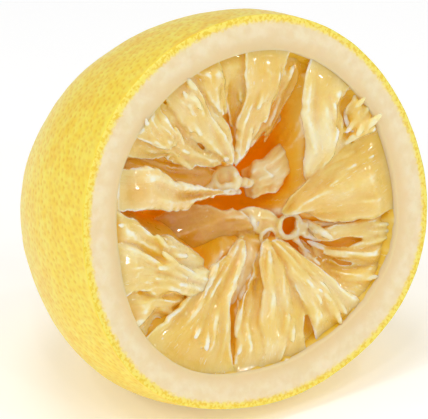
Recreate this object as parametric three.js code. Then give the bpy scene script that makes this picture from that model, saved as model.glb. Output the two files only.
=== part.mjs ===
// Half of a squeezed lemon, lying on its side on the small flat spot that its own weight has pressed.
// Units are millimetres and +Z is up. The cut face looks towards -Y and a little upwards.
// The fruit grew as one piece, so it is one closed solid: rind, torn pulp and the hollow between.
import * as THREE from 'three';

// Outer body.
const RIM_RADIUS = 30; // mean radius of the cut face
const BODY_LENGTH = 41; // from the cut face to the foot of the nipple
const BODY_POWER = 2.55; // 2 is an ellipse; higher is fuller towards the nipple
const BELLY = 0.037; // how far the flank swells behind the cut, as a share of the radius
const AXIS_LEAN = -2.9; // how far the nipple grew to the side of the cut face's middle
const NIPPLE_HEIGHT = 3.4;
const NIPPLE_RADIUS = 6.5;

// The cut face isn't quite round: [waves around the rim, cosine share, sine share].
const RIM_WAVES = [
  [2, 0.013, 0.021],
  [3, 0.008, -0.013],
  [4, -0.008, -0.009],
];
// Its low side is pressed a little flatter, by a share of the radius at one angle of the cut face.
const PRESSED_SIDE = { angle: 249, spread: 20, share: 0.033 };

// How it lies.
const FACE_TILT = THREE.MathUtils.degToRad(18); // how far the cut face leans back
const REST_FLAT_DEPTH = 2; // how much of the round flank the flat spot takes off

// Rind.
const ZEST_THICKNESS = 1.1;
const PITH_THICKNESS = 4.3;

// Torn inside.
const HOLLOW_DEPTH = 25; // below the cut face, at the deepest
const HOLLOW_POWER = 2.6; // higher is a flatter bottom
const TEAR_WIDTH = 2.4; // how quickly a lobe's side falls to the hollow's floor
const CENTRE_PIT = { x: 1.5, y: 2.5, radius: 4.5 }; // where the squeezer's point went in, kept clear of lobes

// What is left of the segments: each lobe hangs from the rind between two angles on the cut face,
// counted from +X towards its top, and tapers to a torn tip at x, y. Depths are below the cut face.
const LOBES = [
  { from: 100, to: 147, tipX: -1, tipY: 8.5, tipHalfWidth: 1.6, wallDepth: 1.3, tipDepth: 6 },
  { from: 67, to: 90, tipX: 1, tipY: 9, tipHalfWidth: 1.4, wallDepth: 0.8, tipDepth: 6 },
  { from: 40, to: 58, tipX: 12, tipY: 4, tipHalfWidth: 1.4, wallDepth: 0.8, tipDepth: 5 },
  { from: 347, to: 382, tipX: 9.5, tipY: -2.5, tipHalfWidth: 1.6, wallDepth: 1, tipDepth: 6 },
  { from: 316, to: 344, tipX: 9, tipY: -5, tipHalfWidth: 2, wallDepth: 2, tipDepth: 6.5 },
  { from: 253, to: 312, tipX: 3.5, tipY: -6, tipHalfWidth: 2.4, wallDepth: 1.4, tipDepth: 6 },
  { from: 214, to: 251, tipX: -0.5, tipY: -5, tipHalfWidth: 1.2, wallDepth: 1, tipDepth: 6 },
  { from: 170, to: 212, tipX: -8.5, tipY: -6.5, tipHalfWidth: 3, wallDepth: 1.2, tipDepth: 4.5 },
  { from: 151, to: 166, tipX: -6.5, tipY: 4, tipHalfWidth: 2, wallDepth: 1.2, tipDepth: 6 },
];

// The core's stump stands in the hollow, with the torn star of segment skins around it.
const CORE = { x: 5, y: -4, radius: 4.2, depth: 8.5 };

// Fineness of the surface.
const AROUND = 96;
const OUTER_RINGS = 22;
const INNER_RINGS = 16;

function rimWave(angle) {
  let sum = 0;
  for (const [waves, cosine, sine] of RIM_WAVES) {
    sum += cosine * Math.cos(waves * angle) + sine * Math.sin(waves * angle);
  }
  const turn = THREE.MathUtils.euclideanModulo(THREE.MathUtils.radToDeg(angle), 360);
  const away = (turn - PRESSED_SIDE.angle) / PRESSED_SIDE.spread;
  return sum - PRESSED_SIDE.share * Math.exp(-away * away);
}

function smoothStep(value) {
  const t = THREE.MathUtils.clamp(value, 0, 1);
  return t * t * (3 - 2 * t);
}

// Radius of the skin at a share of the body's length, 0 at the cut and 1 at the nipple.
function skinRadius(share, angle) {
  const taper = Math.sqrt(Math.max(0, 1 - share ** BODY_POWER));
  const swell = 1 + 4 * BELLY * share * (1 - share);
  const roundness = 1 + rimWave(angle) * (1 - share * share);
  return RIM_RADIUS * taper * swell * roundness;
}

function skinDepth(share, radius) {
  return BODY_LENGTH * share + NIPPLE_HEIGHT * Math.exp(-((radius / NIPPLE_RADIUS) ** 2));
}

function pulpRadius(angle) {
  return skinRadius(0, angle) - ZEST_THICKNESS - PITH_THICKNESS;
}

// Depth of one lobe's surface at x, y, or the floor's depth away from it.
function lobeDepth(lobe, x, y, floor) {
  const middle = THREE.MathUtils.degToRad((lobe.from + lobe.to) / 2);
  const spread = THREE.MathUtils.degToRad((lobe.to - lobe.from) / 2);
  const wall = pulpRadius(middle);
  const rootX = wall * Math.cos(middle);
  const rootY = wall * Math.sin(middle);
  const alongX = lobe.tipX - rootX;
  const alongY = lobe.tipY - rootY;
  const length = Math.hypot(alongX, alongY);
  const share = ((x - rootX) * alongX + (y - rootY) * alongY) / (length * length);
  const aside = Math.abs((x - rootX) * alongY - (y - rootY) * alongX) / length;
  const clamped = THREE.MathUtils.clamp(share, 0, 1);
  const halfWidth = THREE.MathUtils.lerp(wall * Math.sin(spread), lobe.tipHalfWidth, clamped);
  const beside = smoothStep((halfWidth - aside) / TEAR_WIDTH + 0.5);
  const before = smoothStep(((1 - share) * length) / TEAR_WIDTH + 0.5);
  const crest = THREE.MathUtils.lerp(lobe.wallDepth, lobe.tipDepth, clamped);
  return THREE.MathUtils.lerp(floor, crest, beside * before);
}

// Depth of the torn inside below the cut face.
function insideDepth(x, y) {
  const wall = pulpRadius(Math.atan2(y, x));
  const out = Math.min(1, Math.hypot(x, y) / wall);
  const floor = HOLLOW_DEPTH * Math.sqrt(1 - out ** HOLLOW_POWER);
  let depth = floor;
  for (const lobe of LOBES) {
    depth = Math.min(depth, lobeDepth(lobe, x, y, floor));
  }
  const fromCore = Math.hypot(x - CORE.x, y - CORE.y);
  const onCore = smoothStep((CORE.radius - fromCore) / TEAR_WIDTH + 0.5);
  depth = Math.min(depth, THREE.MathUtils.lerp(floor, CORE.depth, onCore));
  const fromPit = Math.hypot(x - CENTRE_PIT.x, y - CENTRE_PIT.y);
  const inPit = smoothStep((CENTRE_PIT.radius - fromPit) / TEAR_WIDTH + 0.5);
  return THREE.MathUtils.lerp(depth, floor, inPit);
}

// A point given across the cut face and below it, in the lying fruit's own directions.
const FACE_RIGHT = new THREE.Vector3(1, 0, 0);
const FACE_TOP = new THREE.Vector3(0, Math.sin(FACE_TILT), Math.cos(FACE_TILT));
const INWARD = new THREE.Vector3(0, Math.cos(FACE_TILT), -Math.sin(FACE_TILT));

function fromFace(x, y, depth) {
  return new THREE.Vector3()
    .addScaledVector(FACE_RIGHT, x)
    .addScaledVector(FACE_TOP, y)
    .addScaledVector(INWARD, depth);
}

// The surface as rings of points, from the nipple over the skin and the cut rind to the hollow's middle.
function makeRings() {
  const rings = [];
  for (let k = 1; k <= OUTER_RINGS; k += 1) {
    const share = Math.cos((Math.PI / 2) * (k / OUTER_RINGS));
    const aside = AXIS_LEAN * share * share;
    rings.push((angle) => {
      const radius = skinRadius(share, angle);
      const x = radius * Math.cos(angle) + aside;
      return fromFace(x, radius * Math.sin(angle), skinDepth(share, radius));
    });
  }
  rings.push((angle) => {
    const radius = skinRadius(0, angle) - ZEST_THICKNESS;
    return fromFace(radius * Math.cos(angle), radius * Math.sin(angle), 0);
  });
  for (let k = 0; k < INNER_RINGS; k += 1) {
    rings.push((angle) => {
      const radius = pulpRadius(angle) * (1 - k / INNER_RINGS);
      const x = radius * Math.cos(angle);
      const y = radius * Math.sin(angle);
      return fromFace(x, y, k === 0 ? 0 : insideDepth(x, y));
    });
  }
  return rings;
}

function makeBody() {
  const points = [fromFace(AXIS_LEAN, 0, BODY_LENGTH + NIPPLE_HEIGHT)];
  const rings = makeRings();
  for (const ring of rings) {
    for (let i = 0; i < AROUND; i += 1) {
      points.push(ring((2 * Math.PI * i) / AROUND));
    }
  }
  points.push(fromFace(0, 0, insideDepth(0, 0)));

  const triangles = [];
  const last = points.length - 1;
  const lastRing = 1 + (rings.length - 1) * AROUND;
  for (let i = 0; i < AROUND; i += 1) {
    const j = (i + 1) % AROUND;
    triangles.push(0, 1 + j, 1 + i);
    triangles.push(last, lastRing + i, lastRing + j);
    for (let k = 0; k < rings.length - 1; k += 1) {
      const near = 1 + k * AROUND;
      const far = near + AROUND;
      triangles.push(near + i, far + j, far + i);
      triangles.push(near + i, near + j, far + j);
    }
  }
  return { points, triangles };
}

// Presses the flat spot, then stands the body on it with its box centred on the origin.
function seat(points) {
  const lowest = Math.min(...points.map((point) => point.z));
  const restHeight = lowest + REST_FLAT_DEPTH;
  for (const point of points) {
    point.z = Math.max(point.z, restHeight);
  }
  const middle = new THREE.Box3().setFromPoints(points).getCenter(new THREE.Vector3());
  for (const point of points) {
    point.sub(new THREE.Vector3(middle.x, middle.y, restHeight));
  }
}

const body = makeBody();
seat(body.points);
const geometry = new THREE.BufferGeometry().setFromPoints(body.points);
geometry.setIndex(body.triangles);
geometry.computeVertexNormals();

const flesh = new THREE.MeshStandardMaterial({ color: 0xf0c844, roughness: 0.45, metalness: 0 });
const lemonHalf = new THREE.Mesh(geometry, flesh);
lemonHalf.name = 'lemon_half';

const part = new THREE.Group();
part.add(lemonHalf);

export default part;
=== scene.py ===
# %% [markdown]
# # Half of a squeezed lemon
# A lemon was cut across, pressed on a squeezer and laid on its side. The skin is waxy and dimpled,
# the pith under it is thick and soft, and the pulp is torn into lobes round a deep hollow.
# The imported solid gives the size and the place, and every piece below is built in its frame.

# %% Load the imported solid
import math

import bmesh
import bpy
import numpy as np
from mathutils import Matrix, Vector
from mathutils.kdtree import KDTree


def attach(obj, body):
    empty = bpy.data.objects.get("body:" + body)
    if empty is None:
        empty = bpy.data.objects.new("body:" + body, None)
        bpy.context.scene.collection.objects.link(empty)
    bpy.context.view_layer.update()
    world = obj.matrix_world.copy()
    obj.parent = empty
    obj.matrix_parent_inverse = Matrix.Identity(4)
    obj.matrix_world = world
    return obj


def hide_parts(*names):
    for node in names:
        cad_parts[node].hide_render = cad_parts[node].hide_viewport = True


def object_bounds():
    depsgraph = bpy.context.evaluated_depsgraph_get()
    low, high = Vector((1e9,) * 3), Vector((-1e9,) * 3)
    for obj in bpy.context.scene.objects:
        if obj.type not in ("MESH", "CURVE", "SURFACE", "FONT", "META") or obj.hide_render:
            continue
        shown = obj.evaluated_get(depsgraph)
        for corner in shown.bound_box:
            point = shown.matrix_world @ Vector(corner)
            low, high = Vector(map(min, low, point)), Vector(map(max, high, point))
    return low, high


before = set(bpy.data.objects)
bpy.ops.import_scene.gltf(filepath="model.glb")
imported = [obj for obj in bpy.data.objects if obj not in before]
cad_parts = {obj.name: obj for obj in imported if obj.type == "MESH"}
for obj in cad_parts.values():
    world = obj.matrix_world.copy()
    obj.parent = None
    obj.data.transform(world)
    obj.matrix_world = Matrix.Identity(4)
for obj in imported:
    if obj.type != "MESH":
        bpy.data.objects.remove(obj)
cad_low, cad_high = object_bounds()
MM = 0.001
print("solid's box, mm:", [round(1000 * v, 1) for v in (*cad_low, *cad_high)])

# %% [markdown]
# ## The fruit's shape
# A lemon is nearly a body of revolution, so one formula gives its skin: a full ellipse that swells
# behind the cut, ends in a nipple and leans a little, as it grew. The cut isn't quite round either,
# so a few waves run round it. All sizes are millimetres, and they are the solid's own sizes.

# %% Sizes of the fruit
RIM_RADIUS = 30.0
BODY_LENGTH = 41.0
BODY_POWER = 2.55
BELLY = 0.037
AXIS_LEAN = -2.9
NIPPLE_HEIGHT = 3.4
NIPPLE_RADIUS = 6.5
RIM_WAVES = [(2, 0.013, 0.021), (3, 0.008, -0.013), (4, -0.008, -0.009)]
PRESSED_ANGLE = 249.0
PRESSED_SPREAD = 20.0
PRESSED_SHARE = 0.033
FACE_TILT = math.radians(18)
REST_FLAT_DEPTH = 2.0
ZEST_THICKNESS = 1.1
PITH_THICKNESS = 4.3
HOLLOW_DEPTH = 25.0
HOLLOW_POWER = 2.6

FACE_RIGHT = np.array([1.0, 0.0, 0.0])
FACE_TOP = np.array([0.0, math.sin(FACE_TILT), math.cos(FACE_TILT)])
INWARD = np.array([0.0, math.cos(FACE_TILT), -math.sin(FACE_TILT)])


def rim_wave(angle):
    """How much larger the radius is at an angle round the cut, as a share."""
    waves = sum(c * np.cos(n * angle) + s * np.sin(n * angle) for n, c, s in RIM_WAVES)
    away = (np.degrees(angle) % 360 - PRESSED_ANGLE) / PRESSED_SPREAD
    return waves - PRESSED_SHARE * np.exp(-(away**2))


def skin_radius(share, angle):
    """Radius of the skin at a share of the body's length, 0 at the cut and 1 at the nipple."""
    taper = np.sqrt(np.maximum(0, 1 - share**BODY_POWER))
    swell = 1 + 4 * BELLY * share * (1 - share)
    return RIM_RADIUS * taper * swell * (1 + rim_wave(angle) * (1 - share**2))


def from_face(x, y, depth):
    """Points given across the cut face and below it, turned to the lying fruit's directions."""
    x, y, depth = np.broadcast_arrays(x, y, depth)
    return x[..., None] * FACE_RIGHT + y[..., None] * FACE_TOP + depth[..., None] * INWARD


def skin_points(share, angle):
    """Points of the smooth skin."""
    radius = skin_radius(share, angle)
    depth = BODY_LENGTH * share + NIPPLE_HEIGHT * np.exp(-((radius / NIPPLE_RADIUS) ** 2))
    x = radius * np.cos(angle) + AXIS_LEAN * share**2
    return from_face(x, radius * np.sin(angle), depth)


# %% [markdown]
# ## Where the fruit lies
# Its weight has pressed a small flat spot under the flank. The rest height is found on the smooth
# skin, and the middle of the pressed skin's box goes to the middle of the solid's box.

# %% Seat the fruit in the solid's box
shares, angles = np.meshgrid(np.linspace(0, 1, 240), np.linspace(0, 2 * np.pi, 720), indexing="ij")
smooth_skin = skin_points(shares, angles)
rest_height = smooth_skin[..., 2].min() + REST_FLAT_DEPTH
smooth_low = smooth_skin.reshape(-1, 3).min(0)
smooth_high = smooth_skin.reshape(-1, 3).max(0)
SEAT = (np.array(cad_low) + np.array(cad_high)) / 2 / MM - (smooth_low + smooth_high) / 2
SEAT[2] = -rest_height
print("rim centre above the surface, mm:", round(float(SEAT[2]), 1))


# %% [markdown]
# ## Helpers for grown shapes
# Nothing in a fruit is smooth for long, so one noise function with a fixed seed roughens every
# surface. It mixes random values at the corners of a lattice, which is quick on whole arrays.

# %% Noise and mesh helpers
def lattice_value(i, j, k, seed):
    """A repeatable random value from -1 to 1 at each corner of the lattice."""
    mixed = (i * 73856093) ^ (j * 19349663) ^ (k * 83492791) ^ (seed * 2654435761)
    mixed = ((mixed ^ (mixed >> 13)) * 1274126177) & 0xFFFFFFFF
    mixed = ((mixed ^ (mixed >> 15)) * 2246822519) & 0xFFFFFFFF
    return ((mixed ^ (mixed >> 16)) & 0xFFFFFF) / 0x7FFFFF - 1


def noise(x, y, z, seed=0):
    """Smooth noise from -1 to 1 with features one unit long."""
    x, y, z = np.broadcast_arrays(x, y, z)
    low = [np.floor(v).astype(np.int64) for v in (x, y, z)]
    part = [v - base for v, base in zip((x, y, z), low)]
    part = [v * v * (3 - 2 * v) for v in part]
    total = 0.0
    for di in (0, 1):
        for dj in (0, 1):
            for dk in (0, 1):
                weight = (part[0] if di else 1 - part[0]) * (part[1] if dj else 1 - part[1])
                weight = weight * (part[2] if dk else 1 - part[2])
                total = total + weight * lattice_value(low[0] + di, low[1] + dj, low[2] + dk, seed)
    return total


def smooth_step(value):
    value = np.clip(value, 0, 1)
    return value * value * (3 - 2 * value)


def build_mesh(name, points_mm, faces, attributes=None):
    """A mesh object from points in millimetres, with named values on its points."""
    mesh = bpy.data.meshes.new(name)
    mesh.from_pydata((np.asarray(points_mm) * MM).tolist(), [], faces)
    for key, values in (attributes or {}).items():
        layer = mesh.attributes.new(key, "FLOAT", "POINT")
        layer.data.foreach_set("value", np.asarray(values, np.float32).ravel())
    mesh.polygons.foreach_set("use_smooth", [True] * len(mesh.polygons))
    mesh.validate()
    piece = bpy.data.objects.new(name, mesh)
    bpy.context.scene.collection.objects.link(piece)
    return piece


def set_vectors(piece, name, vectors):
    """Gives each point of a piece a direction of that name."""
    layer = piece.data.attributes.new(name, "FLOAT_VECTOR", "POINT")
    layer.data.foreach_set("vector", np.asarray(vectors, np.float32).ravel())


def ring_faces(rings, around):
    """Quads between rings of points, closed at both ends by a pole: first point and last point."""
    i = np.arange(around)
    j = (i + 1) % around
    last = 1 + rings * around
    end = 1 + (rings - 1) * around
    faces = np.stack([np.zeros_like(i), 1 + j, 1 + i], 1).tolist()
    for k in range(rings - 1):
        near = 1 + k * around
        far = near + around
        faces += np.stack([near + i, near + j, far + j, far + i], 1).tolist()
    faces += np.stack([np.full_like(i, last), end + i, end + j], 1).tolist()
    return faces


# %% [markdown]
# ## Rind
# Skin, pith and the bowl that held the segments grew together, so they are one closed mesh. Rings of
# points run from the nipple over the skin, across the knife's cut and down inside the bowl.
# Each point also remembers how deep under the skin it is, for the colours on the cut.

# %% Build the rind
AROUND = 520
SKIN_RINGS = 150
CUT_RINGS = 14
BOWL_RINGS = 22
RIND_THICKNESS = ZEST_THICKNESS + PITH_THICKNESS
CUT_ROUNDING = 0.35

around_angle = 2 * np.pi * np.arange(AROUND) / AROUND


def bowl_depth(out):
    """Depth of the pith bowl at a share of its radius."""
    return HOLLOW_DEPTH * np.sqrt(np.maximum(0, 1 - out**HOLLOW_POWER))


def pulp_radius(angle):
    """Where pith meets pulp on the cut; the line wanders a little."""
    wander = 0.35 * noise(2.2 * np.cos(angle), 2.2 * np.sin(angle), 0.0, seed=5)
    return skin_radius(0.0, angle) - RIND_THICKNESS + wander


def rind_points():
    rings = []
    under = []
    skin = []
    for k in range(1, SKIN_RINGS + 1):
        share = math.cos(math.pi / 2 * k / SKIN_RINGS)
        ring = skin_points(share, around_angle)
        slow = noise(*(ring.T / 9), seed=1)
        fine = noise(*(ring.T / 2.3), seed=2)
        outward = ring - from_face(0.0, 0.0, BODY_LENGTH * 0.35)
        outward /= np.linalg.norm(outward, axis=1)[:, None]
        fade = min(1.0, share * 8)
        rings.append(ring + outward * (0.22 * fade * slow + 0.05 * fine)[:, None])
        under.append(np.zeros(AROUND))
        skin.append(np.full(AROUND, min(1.0, share * 40)))
    wall = pulp_radius(around_angle)
    edge = skin_radius(0.0, around_angle)
    for k in range(1, CUT_RINGS + 1):
        share = k / CUT_RINGS
        radius = edge + (wall - edge) * share
        inward = edge - radius
        rounded = CUT_ROUNDING * np.exp(-inward / CUT_ROUNDING)
        x, y = radius * np.cos(around_angle), radius * np.sin(around_angle)
        uneven = 0.10 * noise(x / 3.1, y / 3.1, 0.0, seed=3) + 0.04 * noise(x, y, 0.0, seed=4)
        sag = 0.25 * smooth_step((share - 0.6) / 0.4)
        rings.append(from_face(x, y, -0.1 + 0.3 * rounded + uneven * min(1, 3 * share) + sag))
        under.append(inward)
        skin.append(np.zeros(AROUND))
    for k in range(1, BOWL_RINGS + 1):
        out = math.cos(math.pi / 2 * k / (BOWL_RINGS + 1))
        radius = wall * out
        x, y = radius * np.cos(around_angle), radius * np.sin(around_angle)
        rings.append(from_face(x, y, bowl_depth(out) + 1.3))
        under.append(np.full(AROUND, RIND_THICKNESS))
        skin.append(np.zeros(AROUND))
    nipple = from_face(AXIS_LEAN, 0.0, BODY_LENGTH + NIPPLE_HEIGHT)[None]
    bottom = from_face(0.0, 0.0, HOLLOW_DEPTH + 1.3)[None]
    points = np.concatenate([nipple, *rings, bottom])
    return points, np.concatenate([[0], *under, [RIND_THICKNESS]]), np.concatenate([[1], *skin, [0]])


rind_xyz, rind_under, rind_skin = rind_points()
rind_xyz = rind_xyz + SEAT
rind_faces = ring_faces(SKIN_RINGS + CUT_RINGS + BOWL_RINGS, AROUND)
rind = build_mesh("rind", rind_xyz, rind_faces, {"under_skin": rind_under, "skin": rind_skin})
print("rind:", len(rind.data.polygons), "faces")

# %% [markdown]
# ## Oil glands
# Each dimple in the skin sits over an oil gland, about a millimetre from the next. Geometry Nodes
# scatter the glands with an even spacing, measure how near each point of the skin is to one, push
# the skin in there, and store that nearness for the colour and the shine.


# %% Tree: oil gland dimples
def add_socket(tree, name, kind, default=None):
    socket = tree.interface.new_socket(name=name, in_out="INPUT", socket_type=kind)
    if default is not None:
        socket.default_value = default
    return socket


def node(tree, kind, **settings):
    made = tree.nodes.new(kind)
    for key, value in settings.items():
        setattr(made, key, value)
    return made


def maths(tree, operation, first, second):
    """A Math node; numbers are set on its sockets and sockets are linked."""
    made = node(tree, "ShaderNodeMath", operation=operation)
    for socket, value in zip(made.inputs, (first, second)):
        if isinstance(value, bpy.types.NodeSocket):
            tree.links.new(value, socket)
        else:
            socket.default_value = value
    return made.outputs[0]


def dimple_tree():
    tree = bpy.data.node_groups.new("oil_gland_dimples", "GeometryNodeTree")
    add_socket(tree, "Skin", "NodeSocketGeometry")
    add_socket(tree, "Spacing", "NodeSocketFloat", 0.0009)
    add_socket(tree, "Gland Radius", "NodeSocketFloat", 0.0004)
    add_socket(tree, "Dimple Depth", "NodeSocketFloat", 0.00006)
    add_socket(tree, "Stored As", "NodeSocketString", "gland")
    add_socket(tree, "Seed", "NodeSocketInt", 7)
    add_socket(tree, "Skin Finish", "NodeSocketMaterial")
    tree.interface.new_socket(name="Skin", in_out="OUTPUT", socket_type="NodeSocketGeometry")
    start = node(tree, "NodeGroupInput")
    end = node(tree, "NodeGroupOutput")
    link = tree.links.new

    on_skin = node(tree, "GeometryNodeInputNamedAttribute", data_type="FLOAT")
    on_skin.inputs["Name"].default_value = "skin"
    scatter = node(tree, "GeometryNodeDistributePointsOnFaces", distribute_method="POISSON")
    link(start.outputs["Skin"], scatter.inputs["Mesh"])
    link(maths(tree, "GREATER_THAN", on_skin.outputs["Attribute"], 0.5), scatter.inputs["Selection"])
    link(start.outputs["Spacing"], scatter.inputs["Distance Min"])
    scatter.inputs["Density Max"].default_value = 4.0e6
    link(start.outputs["Seed"], scatter.inputs["Seed"])

    near = node(tree, "GeometryNodeProximity", target_element="POINTS")
    link(scatter.outputs["Points"], near.inputs[0])
    fall = node(tree, "ShaderNodeMapRange", interpolation_type="SMOOTHSTEP")
    link(near.outputs["Distance"], fall.inputs["Value"])
    link(start.outputs["Gland Radius"], fall.inputs["From Max"])
    fall.inputs["To Min"].default_value = 1.0
    fall.inputs["To Max"].default_value = 0.0
    gland = maths(tree, "MULTIPLY", fall.outputs["Result"], on_skin.outputs["Attribute"])

    store = node(tree, "GeometryNodeStoreNamedAttribute", data_type="FLOAT", domain="POINT")
    link(start.outputs["Skin"], store.inputs["Geometry"])
    link(start.outputs["Stored As"], store.inputs["Name"])
    link(gland, store.inputs["Value"])
    push = maths(tree, "MULTIPLY", maths(tree, "MULTIPLY", gland, start.outputs["Dimple Depth"]), -1.0)
    normal = node(tree, "GeometryNodeInputNormal")
    offset = node(tree, "ShaderNodeVectorMath", operation="SCALE")
    link(normal.outputs["Normal"], offset.inputs[0])
    link(push, offset.inputs["Scale"])
    move = node(tree, "GeometryNodeSetPosition")
    link(store.outputs["Geometry"], move.inputs["Geometry"])
    link(offset.outputs["Vector"], move.inputs["Offset"])

    real = node(tree, "GeometryNodeRealizeInstances")
    link(move.outputs["Geometry"], real.inputs["Geometry"])
    finish = node(tree, "GeometryNodeSetMaterial")
    link(real.outputs["Geometry"], finish.inputs["Geometry"])
    link(maths(tree, "GREATER_THAN", on_skin.outputs["Attribute"], 0.01), finish.inputs["Selection"])
    link(start.outputs["Skin Finish"], finish.inputs["Material"])
    link(finish.outputs["Geometry"], end.inputs["Skin"])
    return tree


def run_tree(piece, tree, **inputs):
    """Runs a Geometry Nodes tree on a piece once and keeps the plain mesh that it makes."""
    modifier = piece.modifiers.new(tree.name, "NODES")
    modifier.node_group = tree
    for item in tree.interface.items_tree:
        key = item.name.replace(" ", "_").lower()
        if item.item_type == "SOCKET" and item.in_out == "INPUT" and key in inputs:
            modifier[item.identifier] = inputs[key]
    graph = bpy.context.evaluated_depsgraph_get()
    graph.update()
    made = bpy.data.meshes.new_from_object(piece.evaluated_get(graph), depsgraph=graph)
    piece.modifiers.remove(modifier)
    piece.data = made
    return piece


# %% [markdown]
# ## Finishes
# The skin is waxy: a yellow base that deepens in each gland, under a thin clear coat. Light goes a
# little way into skin and a long way into pith and pulp, so every finish here scatters light inside.


# %% Finish helpers
def new_finish(name):
    finish = bpy.data.materials.new(name)
    finish.use_nodes = True
    shader = finish.node_tree.nodes["Principled BSDF"]
    return finish, finish.node_tree, shader


def colour(r, g, b):
    """A colour as it looks on screen, from 0 to 255, as the linear values that nodes use."""
    linear = [v / 255 / 12.92 if v <= 10 else ((v / 255 + 0.055) / 1.055) ** 2.4 for v in (r, g, b)]
    return (*linear, 1.0)


def point_value(tree, name):
    """The value of that name that the mesh carries on its points."""
    return node(tree, "ShaderNodeAttribute", attribute_name=name).outputs["Fac"]


def mix(tree, share, first, second, blend="MIX"):
    """Mixes two colours by a share; each is a linear colour or a socket."""
    made = node(tree, "ShaderNodeMix", data_type="RGBA", blend_type=blend)
    pairs = ((made.inputs[0], share), (made.inputs[6], first), (made.inputs[7], second))
    for socket, value in pairs:
        if isinstance(value, bpy.types.NodeSocket):
            tree.links.new(value, socket)
        else:
            socket.default_value = value
    return made.outputs[2]


def remap(tree, value, low, high, to_low=0.0, to_high=1.0):
    made = node(tree, "ShaderNodeMapRange", interpolation_type="SMOOTHSTEP")
    tree.links.new(value, made.inputs["Value"])
    for socket, number in zip(made.inputs[1:5], (low, high, to_low, to_high)):
        socket.default_value = number
    return made.outputs["Result"]


def grain(tree, size_mm, detail=2.0):
    """Noise over the piece's own coordinates, with features of that size."""
    place = node(tree, "ShaderNodeTexCoord").outputs["Object"]
    made = node(tree, "ShaderNodeTexNoise")
    tree.links.new(place, made.inputs["Vector"])
    made.inputs["Scale"].default_value = 1 / (size_mm * MM)
    made.inputs["Detail"].default_value = detail
    return made.outputs[0]


def depth_below_cut(tree):
    """Millimetres below the cut face, from the piece's own coordinates."""
    place = node(tree, "ShaderNodeTexCoord").outputs["Object"]
    dot = node(tree, "ShaderNodeVectorMath", operation="DOT_PRODUCT")
    tree.links.new(place, dot.inputs[0])
    dot.inputs[1].default_value = INWARD / MM
    return maths(tree, "SUBTRACT", dot.outputs["Value"], float(SEAT @ INWARD))


def bump(tree, shader, height, distance_mm, strength, socket="Normal"):
    """Links a fine relief to the shader, or to the coat of juice that lies over it."""
    made = node(tree, "ShaderNodeBump")
    made.inputs["Strength"].default_value = strength
    made.inputs["Distance"].default_value = distance_mm * MM
    tree.links.new(height, made.inputs["Height"])
    tree.links.new(made.outputs["Normal"], shader.inputs[socket])


def set_scatter(shader, weight, reach_mm, radius):
    """How much light enters, how far it reaches, and how red, green and blue differ in that."""
    shader.inputs["Subsurface Weight"].default_value = weight
    shader.inputs["Subsurface Scale"].default_value = reach_mm * MM
    shader.inputs["Subsurface Radius"].default_value = radius


# %% Skin and cut-rind finishes
def zest_finish():
    """The yellow skin: wide patches, a paler mottle and darker oil glands."""
    finish, tree, shader = new_finish("zest")
    patches = remap(tree, grain(tree, 11.0), 0.35, 0.68)
    base = mix(tree, patches, colour(255, 221, 56), colour(252, 207, 42))
    mottled = mix(tree, remap(tree, grain(tree, 2.2), 0.35, 0.7), base, colour(255, 231, 84))
    large = mix(tree, maths(tree, "MULTIPLY", point_value(tree, "gland"), 0.62), mottled,
                colour(234, 166, 10))
    both = mix(tree, maths(tree, "MULTIPLY", point_value(tree, "small_gland"), 0.4), large,
               colour(240, 180, 16))
    tree.links.new(both, shader.inputs["Base Color"])
    rough = remap(tree, point_value(tree, "gland"), 0.0, 1.0, 0.36, 0.5)
    tree.links.new(rough, shader.inputs["Roughness"])
    bump(tree, shader, grain(tree, 0.35, 3.0), 0.03, 0.5)
    set_scatter(shader, 0.35, 1.0, (1.0, 0.55, 0.12))
    shader.inputs["Coat Weight"].default_value = 0.15
    shader.inputs["Coat Roughness"].default_value = 0.25
    return finish


def pith_finish():
    """The cut ring: a thin yellow edge that fades into cream pith."""
    finish, tree, shader = new_finish("cut_rind")
    under = point_value(tree, "under_skin")
    ragged = maths(tree, "MULTIPLY", maths(tree, "SUBTRACT", grain(tree, 0.55, 2.0), 0.5), 1.1)
    depth = maths(tree, "ADD", under, ragged)
    cream = mix(tree, remap(tree, grain(tree, 1.6, 4.0), 0.3, 0.7), colour(241, 220, 174),
                colour(247, 231, 194))
    warm = mix(tree, remap(tree, under, 2.6, 5.2), cream, colour(237, 210, 158))
    zest = mix(tree, remap(tree, grain(tree, 0.5, 1.0), 0.42, 0.64), colour(253, 231, 112),
               colour(243, 209, 62))
    edge = mix(tree, remap(tree, depth, 0.65, 1.5), zest, warm)
    tree.links.new(edge, shader.inputs["Base Color"])
    shader.inputs["Roughness"].default_value = 0.55
    bump(tree, shader, grain(tree, 0.5, 4.0), 0.12, 0.5)
    set_scatter(shader, 0.6, 1.6, (1.0, 0.75, 0.42))
    return finish


zest = zest_finish()
cut_rind = pith_finish()
rind.data.materials.append(cut_rind)
rind.data.materials.append(zest)
dimples = dimple_tree()
run_tree(rind, dimples, spacing=0.0010, gland_radius=0.00048, dimple_depth=0.00009,
         stored_as="gland", seed=7, skin_finish=zest)
run_tree(rind, dimples, spacing=0.00062, gland_radius=0.00028, dimple_depth=0.00004,
         stored_as="small_gland", seed=19, skin_finish=zest)

# %% [markdown]
# The pressed spot comes last, so that the flattened skin lies truly level.

# %% Press the flat spot
rind_now = np.empty(len(rind.data.vertices) * 3, np.float32)
rind.data.vertices.foreach_get("co", rind_now)
rind_now = rind_now.reshape(-1, 3)
rind_now[:, 2] = np.maximum(rind_now[:, 2], 0.0)
rind.data.vertices.foreach_set("co", rind_now.ravel())
rind.data.update()
print("rind's points on the flat spot:", int((rind_now[:, 2] < 1e-6).sum()))

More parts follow.
